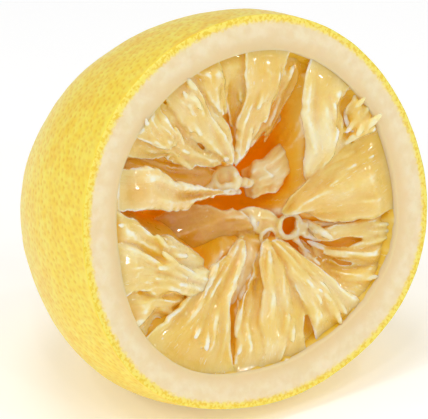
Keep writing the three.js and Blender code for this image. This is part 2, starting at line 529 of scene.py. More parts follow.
# %% [markdown]
# ## Torn lobes of pulp
# Each lobe is a bundle of juice sacs that still hangs from the rind and narrows to a torn tip. Two
# side lines, of three or four points each, say where it lies: across the cut, up it, and how deep.
# A sheet spans them, sacs swell along it as ridges, noise tears its end, and a thick underside closes
# it. Near the rind a lobe spreads a little over its neighbours. Lobes could also be sculpted by hand.


# %% Lobe helpers
def along(line, share):
    """A smooth line through a few points, read at shares from 0 at the rind to 1 at the tip."""
    line = np.asarray(line, float)
    spans = len(line) - 1
    place = np.clip(share, 0, 1) * spans
    index = np.minimum(np.floor(place).astype(int), spans - 1)
    t = (place - index)[..., None]
    padded = np.concatenate([[2 * line[0] - line[1]], line, [2 * line[-1] - line[-2]]])
    a, b, c, d = (padded[index + k] for k in range(4))
    return 0.5 * (2 * b + (c - a) * t + (2 * a - 5 * b + 4 * c - d) * t**2 + (3 * b - a - 3 * c + d) * t**3)


def sheet_normals(points):
    """Normals of a grid of points, turned towards the cut face's outside."""
    normal = np.cross(np.gradient(points, axis=0), np.gradient(points, axis=1))
    normal /= np.maximum(np.linalg.norm(normal, axis=2), 1e-9)[..., None]
    facing = np.where(normal[..., 2:] < 0, -1.0, 1.0)
    if np.mean(facing) < 0:
        return -normal
    return normal


def ridged(x, y, z, seed):
    """Noise with sharp crests, from 0 to 1, as fibres and folds have."""
    return 1 - np.abs(noise(x, y, z, seed))


WIDENING = 0.09  # how far a lobe spreads over its neighbours, as a share of its width


def lobe_shape(left, right, sacs, thickness, crown, ragged, seed, ridge=0.36, root_reach=1.2, milk=0.2):
    """One torn lobe as points in face directions, faces and point values."""
    left, right = np.array(left, float), np.array(right, float)
    length = np.linalg.norm((left[0] + right[0] - left[-1] - right[-1]) / 2)
    width = np.linalg.norm(left - right, axis=1).max()
    across = int(np.clip(width / 0.13, 24, 80))
    steps = int(np.clip(length / 0.2, 36, 88))
    share, side = np.meshgrid(np.linspace(0, 1, steps), np.linspace(-1, 1, across), indexing="ij")
    torn = 0.5 + 0.45 * noise(side * sacs * 0.5, seed * 3.7, 0.0, seed)
    torn = torn + 0.3 * noise(side * sacs * 1.5, seed * 1.3, 0.0, seed + 1)
    reach = share * (1 - ragged * np.clip(torn, 0, 1.2))
    near, far = along(left, reach), along(right, reach)
    overlap = 1 + WIDENING * np.clip(1.2 - share, 0, 1)
    flat = near + (far - near) * ((side * overlap + 1) / 2)[..., None]
    gap = far - near
    if root_reach:
        root = flat[0, :, :2]
        angle = np.arctan2(root[:, 1], root[:, 0])
        wall = (pulp_radius(angle) + root_reach)[:, None] * np.stack([np.cos(angle), np.sin(angle)], 1)
        flat[..., :2] += (wall - root) * (np.clip(1 - 2.5 * share, 0, 1) ** 2)[..., None]
    tip_way = (near + far - along(left, reach - 0.1) - along(right, reach - 0.1)) / 2
    tip_way /= np.maximum(np.linalg.norm(tip_way, axis=2), 1e-9)[..., None]
    tip_width = np.linalg.norm(right[-1] - left[-1])
    flat += tip_way * (0.45 * tip_width * (1 - side**2) * share**5)[..., None]
    aside = gap / np.maximum(np.linalg.norm(gap, axis=2), 1e-9)[..., None]
    mm_side = side * width / 2
    free = smooth_step(share * 4)
    wander = 0.7 * noise(share * length / 3.5, side * 1.2, seed * 0.7, seed + 6)
    wander += 0.26 * noise(share * length / 0.9, side * 2, seed * 0.9, seed + 7)
    sway = 0.9 * noise(share * length / 6, seed * 2.1, 0.0, seed + 10)
    flat = flat + aside * (wander * free * np.abs(side) + sway * free * (1 - share))[..., None]
    flat[..., 2] *= -1
    normal = sheet_normals(flat)

    warp = 0.5 * noise(side * 1.7, share * 2.6, seed * 1.9, seed + 2)
    fold = noise(side * 1.3 + seed, share * 1.6, seed * 0.3, seed + 3)
    rooted = smooth_step(share * 7 - 0.45)
    wave = noise(mm_side / 1.9, share * length / 3.4 + warp, seed * 0.6, seed + 8)
    thread = ridged(side * sacs * 0.62 + warp, share * 1.7, seed * 1.1, seed + 4)
    fibre = ridged(side * sacs * 1.9 + 2 * warp, share * 3.5, seed * 0.8, seed + 5)
    speck = noise(flat[..., 0] * 1.6, flat[..., 1] * 1.6, seed * 2.3, seed + 9)
    open_edge = np.clip(1 - side**2, 0, 1)
    rounded = open_edge**0.35
    thin = 1 - 0.45 * share
    height = crown * open_edge * (1 - 0.5 * share) + 1.2 * fold * free * rounded
    height += rounded * thin * (0.5 * wave + ridge * (2 * thread - 1) + 0.18 * fibre + 0.07 * speck)
    lip = np.exp(-(((np.abs(side) - 0.88) / 0.09) ** 2))
    lip = lip * (0.3 + 0.9 * noise(share * 6, side, seed, seed + 11))
    height = (height + 0.3 * lip) * rooted
    end = smooth_step((1 - share) * 10)
    deep = np.interp(share, [0, 0.5, 1], [thickness[0], (thickness[0] + thickness[1]) / 2, thickness[1]])
    top = flat + normal * (height * (0.35 + 0.65 * end))[..., None]
    below = slice(across - 2, 0, -3)
    lift = (1.1 * fold * free * rounded - deep * open_edge**0.6 * (0.15 + 0.85 * end))[..., None]
    low = (flat + normal * lift)[:, below]

    def around_loop(value):
        return np.concatenate([value, value[:, below]], axis=1)

    loop = np.concatenate([top, low], axis=1)
    on_top = np.concatenate([np.ones_like(side), np.zeros_like(side[:, below])], axis=1)
    room = smooth_step((around_loop(share) - 0.14) * 8) * (1 - np.abs(around_loop(side)) ** 6)
    room = on_top * room * np.clip(1.1 - around_loop(share), 0, 1)
    values = {
        "across": around_loop(side * sacs + 2 * warp),
        "reach": around_loop(share * length),
        "milk": around_loop(np.clip(milk + 0.35 * fold + 0.4 * share**3, 0, 1)),
        "sac_room": room,
    }
    start, stop = loop[0].mean(0)[None], loop[-1].mean(0)[None]
    points = np.concatenate([start, loop.reshape(-1, 3), stop])
    flow = np.gradient(loop, axis=0).reshape(-1, 3)
    flow = np.concatenate([flow[:1], flow, flow[-1:]])
    values = {k: np.concatenate([[v[0].mean()], v.ravel(), [v[-1].mean()]]) for k, v in values.items()}
    values["flow"] = flow
    return points, ring_faces(steps, loop.shape[1]), values


def outward_faces(points, faces):
    """Turns the faces round if the closed shape they make is inside out."""
    quads = np.array([f + [f[2]] if len(f) == 3 else f for f in faces])
    a, b, c, d = (points[quads[:, k]] for k in range(4))
    volume = np.einsum("ij,ij->i", a, np.cross(b, c)).sum() + np.einsum("ij,ij->i", a, np.cross(c, d)).sum()
    return faces if volume > 0 else [f[::-1] for f in faces]


def join_shapes(name, shapes):
    """One object from several closed shapes given in face directions, with height as -depth."""
    points, faces, values = [], [], {}
    offset = 0
    for xyz, quads, own in shapes:
        world = from_face(xyz[:, 0], xyz[:, 1], -xyz[:, 2]) + SEAT
        quads = outward_faces(world, quads)
        points.append(world)
        faces += [[v + offset for v in f] for f in quads]
        offset += len(world)
        for key, value in own.items():
            values.setdefault(key, []).append(value)
    flow = np.concatenate(values.pop("flow"))
    merged = {k: np.concatenate(v) for k, v in values.items()}
    piece = build_mesh(name, np.concatenate(points), faces, merged)
    world_flow = from_face(flow[:, 0], flow[:, 1], -flow[:, 2])
    world_flow /= np.maximum(np.linalg.norm(world_flow, axis=1), 1e-9)[:, None]
    set_vectors(piece, "flow", world_flow)
    return piece


# %% [markdown]
# The lobes, group by group round the cut. Each row gives the two side lines as (right, up, depth)
# in millimetres from the cut's middle, how many sacs lie side by side, thickness at the rind and at
# the tip, how far it bulges, how ragged its end is and how milky the pressing left it. Most of these
# places were worked out beforehand, outside this script. A formula with a few values for each lobe would
# be a better way, because this table can only be changed point by point.

# %% The lobes
LOBES = {
    "lobes_top": [
        ([(-7.1, 24, 0.8), (-5.7, 20.5, 2), (-3.3, 17.2, 3)],
         [(-1.9, 23.8, 0.8), (-1.5, 19.5, 2), (-1.2, 16, 3)],
         3, (2, 1), 1.3, 0.05, 0.2),
        ([(-11.3, 21, 1.2), (-9.5, 16.8, 2.2), (-5.7, 12, 3.6), (-1.3, 7.9, 5.5)],
         [(-6.6, 22.8, 1.2), (-3.5, 17.9, 2.2), (-0.8, 12.5, 3.6), (0.8, 7.8, 5.5)],
         5, (3, 0.8), 1.2, 0.05, 0.7),
        ([(-19.6, 13.5, 1.5), (-14.4, 11.7, 3), (-9.9, 10.3, 4), (-5.6, 8.5, 5)],
         [(-11.9, 19.1, 1.5), (-9.4, 15.9, 3), (-5.7, 12, 4), (-2.1, 7.9, 5)],
         7, (3, 1), 0.7, 0.15, 0.3),
        ([(-18.3, 17.3, 0.8), (-16.7, 15.2, 1.2), (-13.9, 12.9, 2)],
         [(-12.5, 20.5, 0.8), (-11.9, 17.8, 1.2), (-10.1, 14.9, 2)],
         5, (2, 0.8), 0.5, 0.2, 0.2),
        ([(-1.6, 24.4, 1.4), (-0.9, 19.3, 3), (0.2, 13.1, 5)],
         [(3.3, 23.7, 1.4), (2.7, 18.5, 3), (2.1, 13.5, 5)],
         2, (3, 0.8), 0.4, 0.05, 0.1),
        ([(2.9, 24, 0.3), (2.4, 18.6, 1.6), (1.2, 12.9, 3.6), (0.2, 7.2, 6)],
         [(9.2, 21.1, 0.3), (7.8, 17.4, 1.6), (5.1, 12.8, 3.6), (2.3, 8.2, 6)],
         4, (3, 0.7), 1.3, 0.05, 0.4),
    ],
    "lobes_behind": [
        ([(-18.4, 13.2, 4), (-11.2, 10.6, 5.8), (-6.1, 8.7, 6.8), (-1.5, 6.9, 8)],
         [(-19.6, 9.5, 4), (-12.9, 5.2, 5.8), (-7.8, 4.2, 6.8), (-3.5, 4.4, 8)],
         3, (3, 2), 0.6, 0.0, 0.1),
        ([(7.6, 22, 1.6), (7.2, 16, 5), (5.4, 9.4, 8)],
         [(13.4, 19.8, 2.2), (12.4, 14.6, 5.5), (9.2, 9.8, 8.5)],
         5, (3, 0.8), 0.5, 0.3, 0),
    ],
    "lobes_right": [
        ([(12.5, 18.7, 0.5), (11.2, 14, 1.2), (11.6, 8.3, 2.6), (11.8, 2.5, 5)],
         [(19.7, 15.6, 0.5), (17.9, 12.1, 1.2), (18.8, 5.5, 2.6), (13.2, 2.4, 5)],
         4, (2, 0.7), 1.2, 0.04, 0.7),
        ([(20.5, 14.1, 1), (18.9, 11.8, 1.5), (19.1, 8.5, 2.5)],
         [(23.4, 8.4, 1), (21.3, 7.6, 1.5), (20.1, 7.2, 2.5)],
         3, (2, 1), 0.8, 0.1, 0.3),
        ([(22.6, 8, 1), (16.6, 4.8, 2.5), (11.7, 1.7, 4.5), (7.6, -2.1, 6)],
         [(24.8, -4.4, 1), (19.7, -5.3, 2.5), (13.8, -4.4, 4.5), (9.6, -2.2, 6)],
         8, (4, 0.7), 1.2, 0.04, 0.15),
        ([(24.8, -4.9, 2.5), (20.5, -6.1, 4), (14.6, -5.8, 5), (12.2, -5.0, 6)],
         [(23.8, -9.4, 2.5), (18.5, -8.6, 4), (14, -8.2, 5), (12.2, -6.6, 6)],
         4, (3, 0.6), 0.5, 0.08, 0.2),
        ([(23.9, -8.6, 2), (19.1, -10, 3), (14.8, -9.2, 5), (12.6, -7.8, 6.5)],
         [(21.4, -12.8, 2), (17.6, -12.5, 3), (14.2, -10.6, 5), (12.4, -9.2, 6.5)],
         4, (3, 0.6), 0.5, 0.08, 0.2),
        ([(22, -11.8, 1.6), (18, -12.5, 3.4), (13.3, -10.5, 5.4), (11.1, -7.5, 8)],
         [(16.4, -18, 1.6), (13.9, -15.4, 3.4), (12, -12, 6), (10.4, -8.3, 8)],
         5, (3, 0.8), 0.5, 0.08, 0.2),
    ],
    "lobes_bottom": [
        ([(-20.5, -13.2, 1), (-14.6, -10.4, 2.5), (-7.1, -6.7, 4), (-2, -4.4, 5.6)],
         [(-8.3, -22.3, 1), (-7, -16, 2.5), (-3.9, -10.6, 4), (0.3, -4.9, 5.6)],
         8, (4, 0.8), 1.2, 0.03, 0.2),
        ([(-7.9, -22.4, 1.2), (-4.7, -15.8, 3), (-1.2, -10.5, 4.5), (2.2, -6.8, 6)],
         [(-1.8, -23.9, 1.2), (-0.2, -17.9, 3), (1.5, -12.1, 4.5), (3.3, -6.2, 6)],
         4, (4, 0.8), 0.7, 0.04, 0.3),
        ([(-3.3, -23.5, 1.2), (-0.7, -16.9, 2.3), (0.7, -10.5, 3.6), (2.3, -5.9, 5.5)],
         [(4.5, -23, 1.2), (6.2, -17.3, 2.3), (6.6, -12.1, 3.6), (5.2, -6.2, 5.5)],
         6, (4, 0.8), 1.1, 0.04, 0.5),
        ([(7.5, -22.2, 1.5), (6.6, -15.5, 2), (5.6, -10.9, 3.5), (4, -6.1, 5)],
         [(16.1, -18.4, 1.5), (14.2, -15.6, 2), (10.5, -11.3, 3.5), (6.9, -6.4, 5)],
         5, (2, 0.6), 0.8, 0.04, 0.6),
        ([(3, -23.2, 2.5), (5, -18, 4), (6, -13, 6)],
         [(11, -21.4, 2.5), (9.5, -16.5, 4), (8.5, -12.5, 6)],
         5, (3, 1), 0.5, 0.1, 0.3),
    ],
    "lobes_left": [
        ([(-24, 6, 1.2), (-20.7, 4.4, 2), (-16.6, 1.2, 3), (-12.7, -1.2, 4)],
         [(-24.6, 0.5, 1.2), (-20.2, -1, 2), (-14.8, -4.2, 3), (-8.1, -6.9, 4)],
         5, (3, 1), 0.8, 0.1, 0.3),
        ([(-24.6, 2.0, 0.4), (-19.2, -1.6, 1.4), (-13.6, -4.6, 2.2), (-8, -7.0, 3.6)],
         [(-24.3, -6, 0.4), (-19.5, -7.4, 1.4), (-14, -9.2, 2.2), (-9.4, -10.8, 3.6)],
         6, (4, 1), 1.4, 0.1, 0.6),
        ([(-24.4, -4.6, 1.5), (-19.8, -5.7, 2.5), (-15.3, -7.9, 3.5), (-11.8, -9.6, 4.5)],
         [(-21.3, -12.8, 1.5), (-19.4, -11.9, 2.5), (-16.4, -11.6, 3.5), (-13.9, -10.9, 4.5)],
         5, (3, 1), 0.8, 0.15, 0.5),
    ],
}

lobe_pieces = []
for group, rows in LOBES.items():
    shapes = []
    for number, (left, right, sacs, thickness, crown, ragged, milk) in enumerate(rows):
        seed = 31 + 17 * len(lobe_pieces) + number
        shapes.append(lobe_shape(left, right, sacs, thickness, crown, ragged, seed, milk=milk))
    lobe_pieces.append(join_shapes(group, shapes))
    print(group, len(lobe_pieces[-1].data.polygons), "faces")

# %% [markdown]
# ## The bed under the lobes
# Under the lobes the flesh still hangs together, wet and amber, and only where a whole segment was
# torn away does it fall to the deep lining of the hollow. So the bed is a bowl of rings whose depth
# follows the nearest lobe, and drops steeply away from it. Fins show where two segments met.

# %% Build the bed
FIN_ANGLES = [8, 47, 63, 97, 148, 168, 190, 213, 252, 283, 314, 345]
BED_AROUND = 420
BED_RINGS = 96
BED_DEPTH = 18.0
BED_THICKNESS = 1.0
BED_BELOW_LOBE = 1.0
BED_SLOPE = 2.3
BED_SMOOTHING = 6
FIN_HEIGHT = 2.5
FIN_WIDTH = 0.06


def open_depth(out, angle):
    """Depth of the hollow's lining away from any lobe, at a share of its radius and an angle."""
    fins = np.zeros_like(angle)
    for degrees in FIN_ANGLES:
        away = np.angle(np.exp(1j * (angle - math.radians(degrees))))
        away = away + 0.05 * np.sin(9 * out + degrees)
        fins = np.maximum(fins, np.exp(-((away / FIN_WIDTH) ** 2)))
    rise = FIN_HEIGHT * fins * smooth_step(out * 3) * smooth_step((1 - out) * 5)
    return BED_DEPTH * (1 - out**2.4) ** 0.9 - rise


def lobe_places():
    """Points all over the lobes, as (right, up) and depth."""
    places = []
    share, side = np.meshgrid(np.linspace(0, 1, 40), np.linspace(0.06, 0.94, 24), indexing="ij")
    for rows in LOBES.values():
        for left, right, *rest in rows:
            near, far = along(left, share), along(right, share)
            places.append((near + (far - near) * side[..., None]).reshape(-1, 3))
    return np.concatenate(places)


def bed_mesh():
    """The bowl of rings under the lobes, closed by an underside."""
    places = lobe_places()
    tree = KDTree(len(places))
    for index, (x, y, depth) in enumerate(places):
        tree.insert((x, y, 0), index)
    tree.balance()
    angle = 2 * np.pi * np.arange(BED_AROUND) / BED_AROUND
    wall = pulp_radius(angle) + 0.7
    outs = np.sin(math.pi / 2 * np.arange(1, BED_RINGS + 1) / BED_RINGS)
    depths = []
    for out in outs:
        x, y = wall * out * np.cos(angle), wall * out * np.sin(angle)
        found = [tree.find((u, v, 0)) for u, v in zip(x, y)]
        lobe_depth = np.array([places[index][2] for place, index, gap in found])
        gap = np.array([gap for place, index, gap in found])
        gap = np.maximum(gap - 0.3, 0)
        near_lobe = lobe_depth + BED_BELOW_LOBE + BED_SLOPE * gap
        depths.append(np.minimum(open_depth(out, angle), near_lobe))
    depths = np.array(depths)
    for _ in range(BED_SMOOTHING):
        padded = np.concatenate([depths[:1], depths, depths[-1:]])
        depths = (padded[:-2] + padded[2:] + np.roll(depths, 1, 1) + np.roll(depths, -1, 1)) / 4
    top, under, across, reach = [], [], [], []
    for out, depth in zip(outs, depths):
        x, y = wall * out * np.cos(angle), wall * out * np.sin(angle)
        folds = 0.5 * noise(angle * 9, out * 4, 0.0, seed=11) * out
        ridges = ridged(angle * 17, out * 3, 0.0, seed=12) * 0.5 * out
        lumps = 0.25 * noise(x / 1.1, y / 1.1, depth / 2, seed=13)
        depth = np.maximum(depth + folds - ridges + lumps, 0.5)
        top.append(from_face(x, y, depth))
        bowl = BED_DEPTH * (1 - out**2.4) ** 0.9
        under.append(from_face(x, y, np.maximum(depth, bowl) + BED_THICKNESS))
        across.append(angle * 20)
        reach.append(np.full(BED_AROUND, 25 * out))
    middle = from_face(0.0, 0.0, BED_DEPTH)[None]
    beneath = from_face(0.0, 0.0, BED_DEPTH + BED_THICKNESS)[None]
    points = np.concatenate([middle, *top, *under[::-1], beneath]) + SEAT
    values = {"across": across, "reach": reach}
    values = {key: np.concatenate([[0], *value, *value[::-1], [0]]) for key, value in values.items()}
    values["milk"] = np.zeros(len(points))
    values["sac_room"] = smooth_step((values["reach"] - 12) / 8)
    piece = build_mesh("pulp_bed", points, ring_faces(2 * BED_RINGS, BED_AROUND), values)
    flow = SEAT - points
    flow /= np.maximum(np.linalg.norm(flow, axis=1), 1e-9)[:, None]
    set_vectors(piece, "flow", flow)
    return piece


bed = bed_mesh()
print("bed:", len(bed.data.polygons), "faces")

# %% [markdown]
# ## Segment skins and the torn core
# The skins between the segments, and the core that they met at, are thin, tan and tough, so they
# stay as curled films, blades and stubs. A film is the same kind of sheet as a lobe, only thin and
# plain. Where veins ran through the core, round holes are left, and strands join them to the lobes.


# %% Strands and rings
def strand(line, radii, seed, loop=False):
    """A tapering strand through a few points, or a ring of it, as a closed shape."""
    around, steps = 14, 48
    share = np.linspace(0, 1, steps)
    line = np.array(line, float)
    line[:, 2] *= -1
    middle = along(line, share)
    ahead = np.gradient(middle, axis=0)
    ahead /= np.linalg.norm(ahead, axis=1)[:, None]
    beside = np.cross(ahead, (0.0, 0.0, 1.0))
    beside /= np.maximum(np.linalg.norm(beside, axis=1), 1e-9)[:, None]
    above = np.cross(beside, ahead)
    angle = 2 * np.pi * np.arange(around) / around
    radius = np.interp(share, np.linspace(0, 1, len(radii)), radii)[:, None]
    radius = radius * (1 + 0.35 * noise(share[:, None] * 9, np.cos(angle), seed * 1.3, seed))
    ring = middle[:, None] + radius[..., None] * (
        np.cos(angle)[:, None] * beside[:, None] + 0.8 * np.sin(angle)[:, None] * above[:, None]
    )
    points = np.concatenate([middle[:1], ring.reshape(-1, 3), middle[-1:]])
    count = len(points)
    values = {key: np.full(count, amount) for key, amount in STRAND_VALUES.items()}
    values["across"] = np.concatenate([[0], np.tile(angle * 1.5, steps), [0]])
    values["reach"] = np.concatenate([[0], np.repeat(share * 8, around), [8]])
    values["flow"] = np.concatenate([ahead[:1], np.repeat(ahead, around, axis=0), ahead[-1:]])
    return points, ring_faces(steps, around), values


def round_line(x, y, depth, wide, tall, drop=0.0):
    """Points round an oval at a place on the cut, closed on itself."""
    turn = np.linspace(0, 2 * np.pi, 9)
    return [(x + wide * math.cos(a), y + tall * math.sin(a), depth + drop * math.sin(a)) for a in turn]


STRAND_VALUES = {"milk": 0.5, "sac_room": 0.0}

# %% The films and the core
SKINS = [
    ([(-21.5, 12.2, 1), (-13.9, 9.7, 3), (-7.9, 5.9, 5), (0.8, 3.6, 7)],
     [(-22.8, 6.3, 1), (-14.2, 3.6, 2.6), (-7.3, 3.4, 4.6), (1.3, 2.2, 7)], 3, (1.2, 0.7), 1.5, 0.0),
    ([(-14, 0.5, 11.5), (-7.5, 1.6, 9.6), (-1.6, 0.6, 8.2), (2.6, -1.4, 7.2)],
     [(-11, -11, 12), (-5, -9.6, 10), (-1.2, -6.8, 8.6), (2.8, -4.4, 7.2)], 2, (1.6, 0.9), 0.6, 0.0),
    ([(1.4, -2.0, 8), (-0.5, -6, 7.5), (-2.6, -10.5, 7), (-4.8, -15.5, 6)],
     [(6.0, -4.6, 7.6), (3.6, -8, 7.2), (0.2, -12.3, 6.6), (-4.0, -15.9, 6)], 1, (2, 1), 0.6, 0.0),
]
CORE = [
    ([(3.9, 5.2, 10), (7, 6.4, 8.6), (12, 8.4, 8.3), (20, 9.8, 9)],
     [(3.9, 1.2, 10), (6.5, 0.9, 8.6), (12, 2.6, 8.6), (19, 6, 9)], 5, (3, 1.5), 0.8, 0.3),
    ([(5.6, 5.0, 9), (8.8, 5.8, 7.8), (13, 6.6, 8)],
     [(5.4, 1.6, 9), (8.2, 1.2, 7.8), (11.4, 2.4, 8)], 6, (2, 1.5), 1.2, 0.6),
    ([(1.2, -0.4, 8.4), (4.2, -0.8, 7.6), (6.0, -1.6, 7.4), (7.2, -2.4, 7.4)],
     [(1.4, -3.4, 8.4), (3.2, -4.2, 8), (4.4, -4.4, 8), (6.4, -4.2, 8)], 2, (2.5, 1.2), 0.4, 0.05),
]
STRANDS = [
    (round_line(-0.6, 5.2, 7.2, 1.9, 1.6, 0.6), (0.95, 0.45, 1.0, 0.95)),
    ([(-2.4, 5.0, 8.6), (-0.6, 5.4, 8.5), (1.4, 4.8, 8.8)], (1.2, 1.7, 1.2)),
    ([(1.6, 4.4, 7.2), (3.4, 3.6, 8), (5.6, 3.4, 9)], (0.9, 0.7, 0.9)),
    (round_line(12.4, 4.0, 7.9, 1.2, 1.1), (0.6, 0.4, 0.7, 0.6)),
    ([(-2.2, 4.8, 7.2), (-5, 4.2, 7), (-8, 4.4, 6.4)], (0.9, 0.6, 0.4)),
    (round_line(8.9, -4.4, 6.6, 2.0, 1.75), (0.6, 0.42, 0.6, 0.6)),
    (round_line(5.2, -5.6, 6.9, 1.7, 1.4), (0.55, 0.4, 0.55, 0.55)),
    ([(10, -4.4, 6.8), (13, -5.2, 6.2), (18, -6, 5)], (0.75, 0.5, 0.3)),
    ([(10, -5.2, 6.8), (12.5, -7.2, 6.6), (16.5, -9.2, 6)], (0.75, 0.55, 0.3)),
    ([(9.2, -5.6, 7), (10.6, -8.2, 7), (13.5, -12, 6.4)], (0.7, 0.5, 0.3)),
    ([(6.4, -6, 7.2), (6.8, -9, 6.6), (6.4, -13, 5.8)], (0.7, 0.5, 0.3)),
    ([(4.8, -5.6, 7.4), (4.2, -8.4, 6.8), (2.4, -12.4, 6)], (0.7, 0.5, 0.3)),
    ([(3.4, -2.6, 8), (1.2, -4.4, 8), (-2.4, -6.4, 8)], (0.8, 0.6, 0.5)),
]

FILM_EDGES = [
    (round_line(20.4, 10.2, 1.7, 1.5, 2.0, 0.5), (0.55, 0.3, 0.6, 0.35)),
]

SKIN_RIDGE = 0.14
FOLDED_RIDGE = 0.5  # the first skin is crumpled, the others lie smooth
skin_shapes = []
for number, (left, right, sacs, thickness, crown, ragged) in enumerate(SKINS):
    ridge = FOLDED_RIDGE if number == 0 else SKIN_RIDGE
    skin_shapes.append(
        lobe_shape(left, right, sacs, thickness, crown, ragged, 211 + number, ridge=ridge, root_reach=0)
    )
for number, (line, radii) in enumerate(FILM_EDGES):
    skin_shapes.append(strand(line, radii, 501 + number))
skins = join_shapes("segment_skins", skin_shapes)
core_shapes = []
for number, (left, right, sacs, thickness, crown, ragged) in enumerate(CORE):
    core_shapes.append(
        lobe_shape(left, right, sacs, thickness, crown, ragged, 311 + number, root_reach=0, milk=0.8)
    )
for number, (line, radii) in enumerate(STRANDS):
    core_shapes.append(strand(line, radii, 401 + number))
core = join_shapes("torn_core", core_shapes)
print("skins and core:", len(skins.data.polygons) + len(core.data.polygons), "faces")


# %% [markdown]
# ## Juice sacs
# Pulp is made of juice sacs: small wet bags, each drawn out towards the fruit's middle. Geometry Nodes
# scatter them where a piece has room for them, lay each along the flow of its lobe, sink most of it
# into the surface and vary its size, so the pulp gets its crowded, beaded look at little cost.


# %% Tree: juice sacs
def sac_tree():
    tree = bpy.data.node_groups.new("juice_sacs", "GeometryNodeTree")
    add_socket(tree, "Pulp", "NodeSocketGeometry")
    add_socket(tree, "Sacs per Area", "NodeSocketFloat", 400000.0)
    add_socket(tree, "Width", "NodeSocketFloat", 0.0010)
    add_socket(tree, "Length", "NodeSocketFloat", 0.0040)
    add_socket(tree, "Smallest", "NodeSocketFloat", 0.6)
    add_socket(tree, "Sink", "NodeSocketFloat", 0.0002)
    add_socket(tree, "Seed", "NodeSocketInt", 3)
    add_socket(tree, "Finish", "NodeSocketMaterial")
    tree.interface.new_socket(name="Pulp", in_out="OUTPUT", socket_type="NodeSocketGeometry")
    start = node(tree, "NodeGroupInput")
    end = node(tree, "NodeGroupOutput")
    link = tree.links.new

    room = node(tree, "GeometryNodeInputNamedAttribute", data_type="FLOAT")
    room.inputs["Name"].default_value = "sac_room"
    scatter = node(tree, "GeometryNodeDistributePointsOnFaces", distribute_method="RANDOM")
    link(start.outputs["Pulp"], scatter.inputs["Mesh"])
    density = maths(tree, "MULTIPLY", room.outputs["Attribute"], start.outputs["Sacs per Area"])
    link(density, scatter.inputs["Density"])
    link(start.outputs["Seed"], scatter.inputs["Seed"])

    flow = node(tree, "GeometryNodeInputNamedAttribute", data_type="FLOAT_VECTOR")
    flow.inputs["Name"].default_value = "flow"
    stray = node(tree, "FunctionNodeRandomValue", data_type="FLOAT_VECTOR")
    stray.inputs["Min"].default_value = (-0.25, -0.25, -0.25)
    stray.inputs["Max"].default_value = (0.25, 0.25, 0.25)
    link(start.outputs["Seed"], stray.inputs["Seed"])
    heading = node(tree, "ShaderNodeVectorMath", operation="ADD")
    link(flow.outputs["Attribute"], heading.inputs[0])
    link(stray.outputs["Value"], heading.inputs[1])
    turn = node(tree, "FunctionNodeAlignRotationToVector", axis="Z")
    link(heading.outputs["Vector"], turn.inputs["Vector"])

    sac = node(tree, "GeometryNodeMeshUVSphere")
    sac.inputs["Segments"].default_value = 8
    sac.inputs["Rings"].default_value = 6
    sac.inputs["Radius"].default_value = 0.5
    soft = node(tree, "GeometryNodeSetShadeSmooth")
    link(sac.outputs["Mesh"], soft.inputs["Geometry"])
    shape = node(tree, "ShaderNodeCombineXYZ")
    for axis, name in (("X", "Width"), ("Y", "Width"), ("Z", "Length")):
        link(start.outputs[name], shape.inputs[axis])
    vary = node(tree, "FunctionNodeRandomValue", data_type="FLOAT")
    link(start.outputs["Smallest"], vary.inputs[2])
    vary.inputs[3].default_value = 1.3
    link(start.outputs["Seed"], vary.inputs["Seed"])
    size = node(tree, "ShaderNodeVectorMath", operation="SCALE")
    link(shape.outputs["Vector"], size.inputs[0])
    link(vary.outputs[1], size.inputs["Scale"])

    sunk = node(tree, "ShaderNodeVectorMath", operation="SCALE")
    link(scatter.outputs["Normal"], sunk.inputs[0])
    link(maths(tree, "MULTIPLY", start.outputs["Sink"], -1.0), sunk.inputs["Scale"])
    move = node(tree, "GeometryNodeSetPosition")
    link(scatter.outputs["Points"], move.inputs["Geometry"])
    link(sunk.outputs["Vector"], move.inputs["Offset"])
    place = node(tree, "GeometryNodeInstanceOnPoints")
    link(move.outputs["Geometry"], place.inputs["Points"])
    link(soft.outputs["Geometry"], place.inputs["Instance"])
    link(turn.outputs["Rotation"], place.inputs["Rotation"])
    link(size.outputs["Vector"], place.inputs["Scale"])

    join = node(tree, "GeometryNodeJoinGeometry")
    link(place.outputs["Instances"], join.inputs["Geometry"])
    link(start.outputs["Pulp"], join.inputs["Geometry"])
    real = node(tree, "GeometryNodeRealizeInstances")
    link(join.outputs["Geometry"], real.inputs["Geometry"])
    finish = node(tree, "GeometryNodeSetMaterial")
    link(real.outputs["Geometry"], finish.inputs["Geometry"])
    link(start.outputs["Finish"], finish.inputs["Material"])
    link(finish.outputs["Geometry"], end.inputs["Pulp"])
    return tree


# %% [markdown]
# ## Pulp finishes
# Wet pulp looks pale where its surface is near the light and amber where it is deep, because light
# turns more yellow the further it travels in juice. That light is painted: depth below the cut turns
# the colour amber and orange. Painted shade darkens crevices and troughs, a painted glow lifts them,
# and painted highlights lie along the crests. Fine threads that follow each lobe's own across and
# along values carry the colour and the bump.


# %% Pulp, skin and lining finishes
def threads(tree, across, stretch):
    """Noise drawn out along the flow, from the across and reach values, in millimetres."""
    place = node(tree, "ShaderNodeCombineXYZ")
    tree.links.new(maths(tree, "MULTIPLY", point_value(tree, "across"), across), place.inputs["X"])
    tree.links.new(maths(tree, "MULTIPLY", point_value(tree, "reach"), stretch), place.inputs["Y"])
    made = node(tree, "ShaderNodeTexNoise")
    tree.links.new(place.outputs["Vector"], made.inputs["Vector"])
    made.inputs["Scale"].default_value = 1.0
    made.inputs["Detail"].default_value = 3.0
    return made.outputs[0]


def shade_inside(tree, reach_mm):
    """1 where a point is open to the light and 0 where other flesh surrounds it."""
    made = node(tree, "ShaderNodeAmbientOcclusion", samples=6)
    made.inputs["Distance"].default_value = reach_mm * MM
    return made.outputs["AO"]


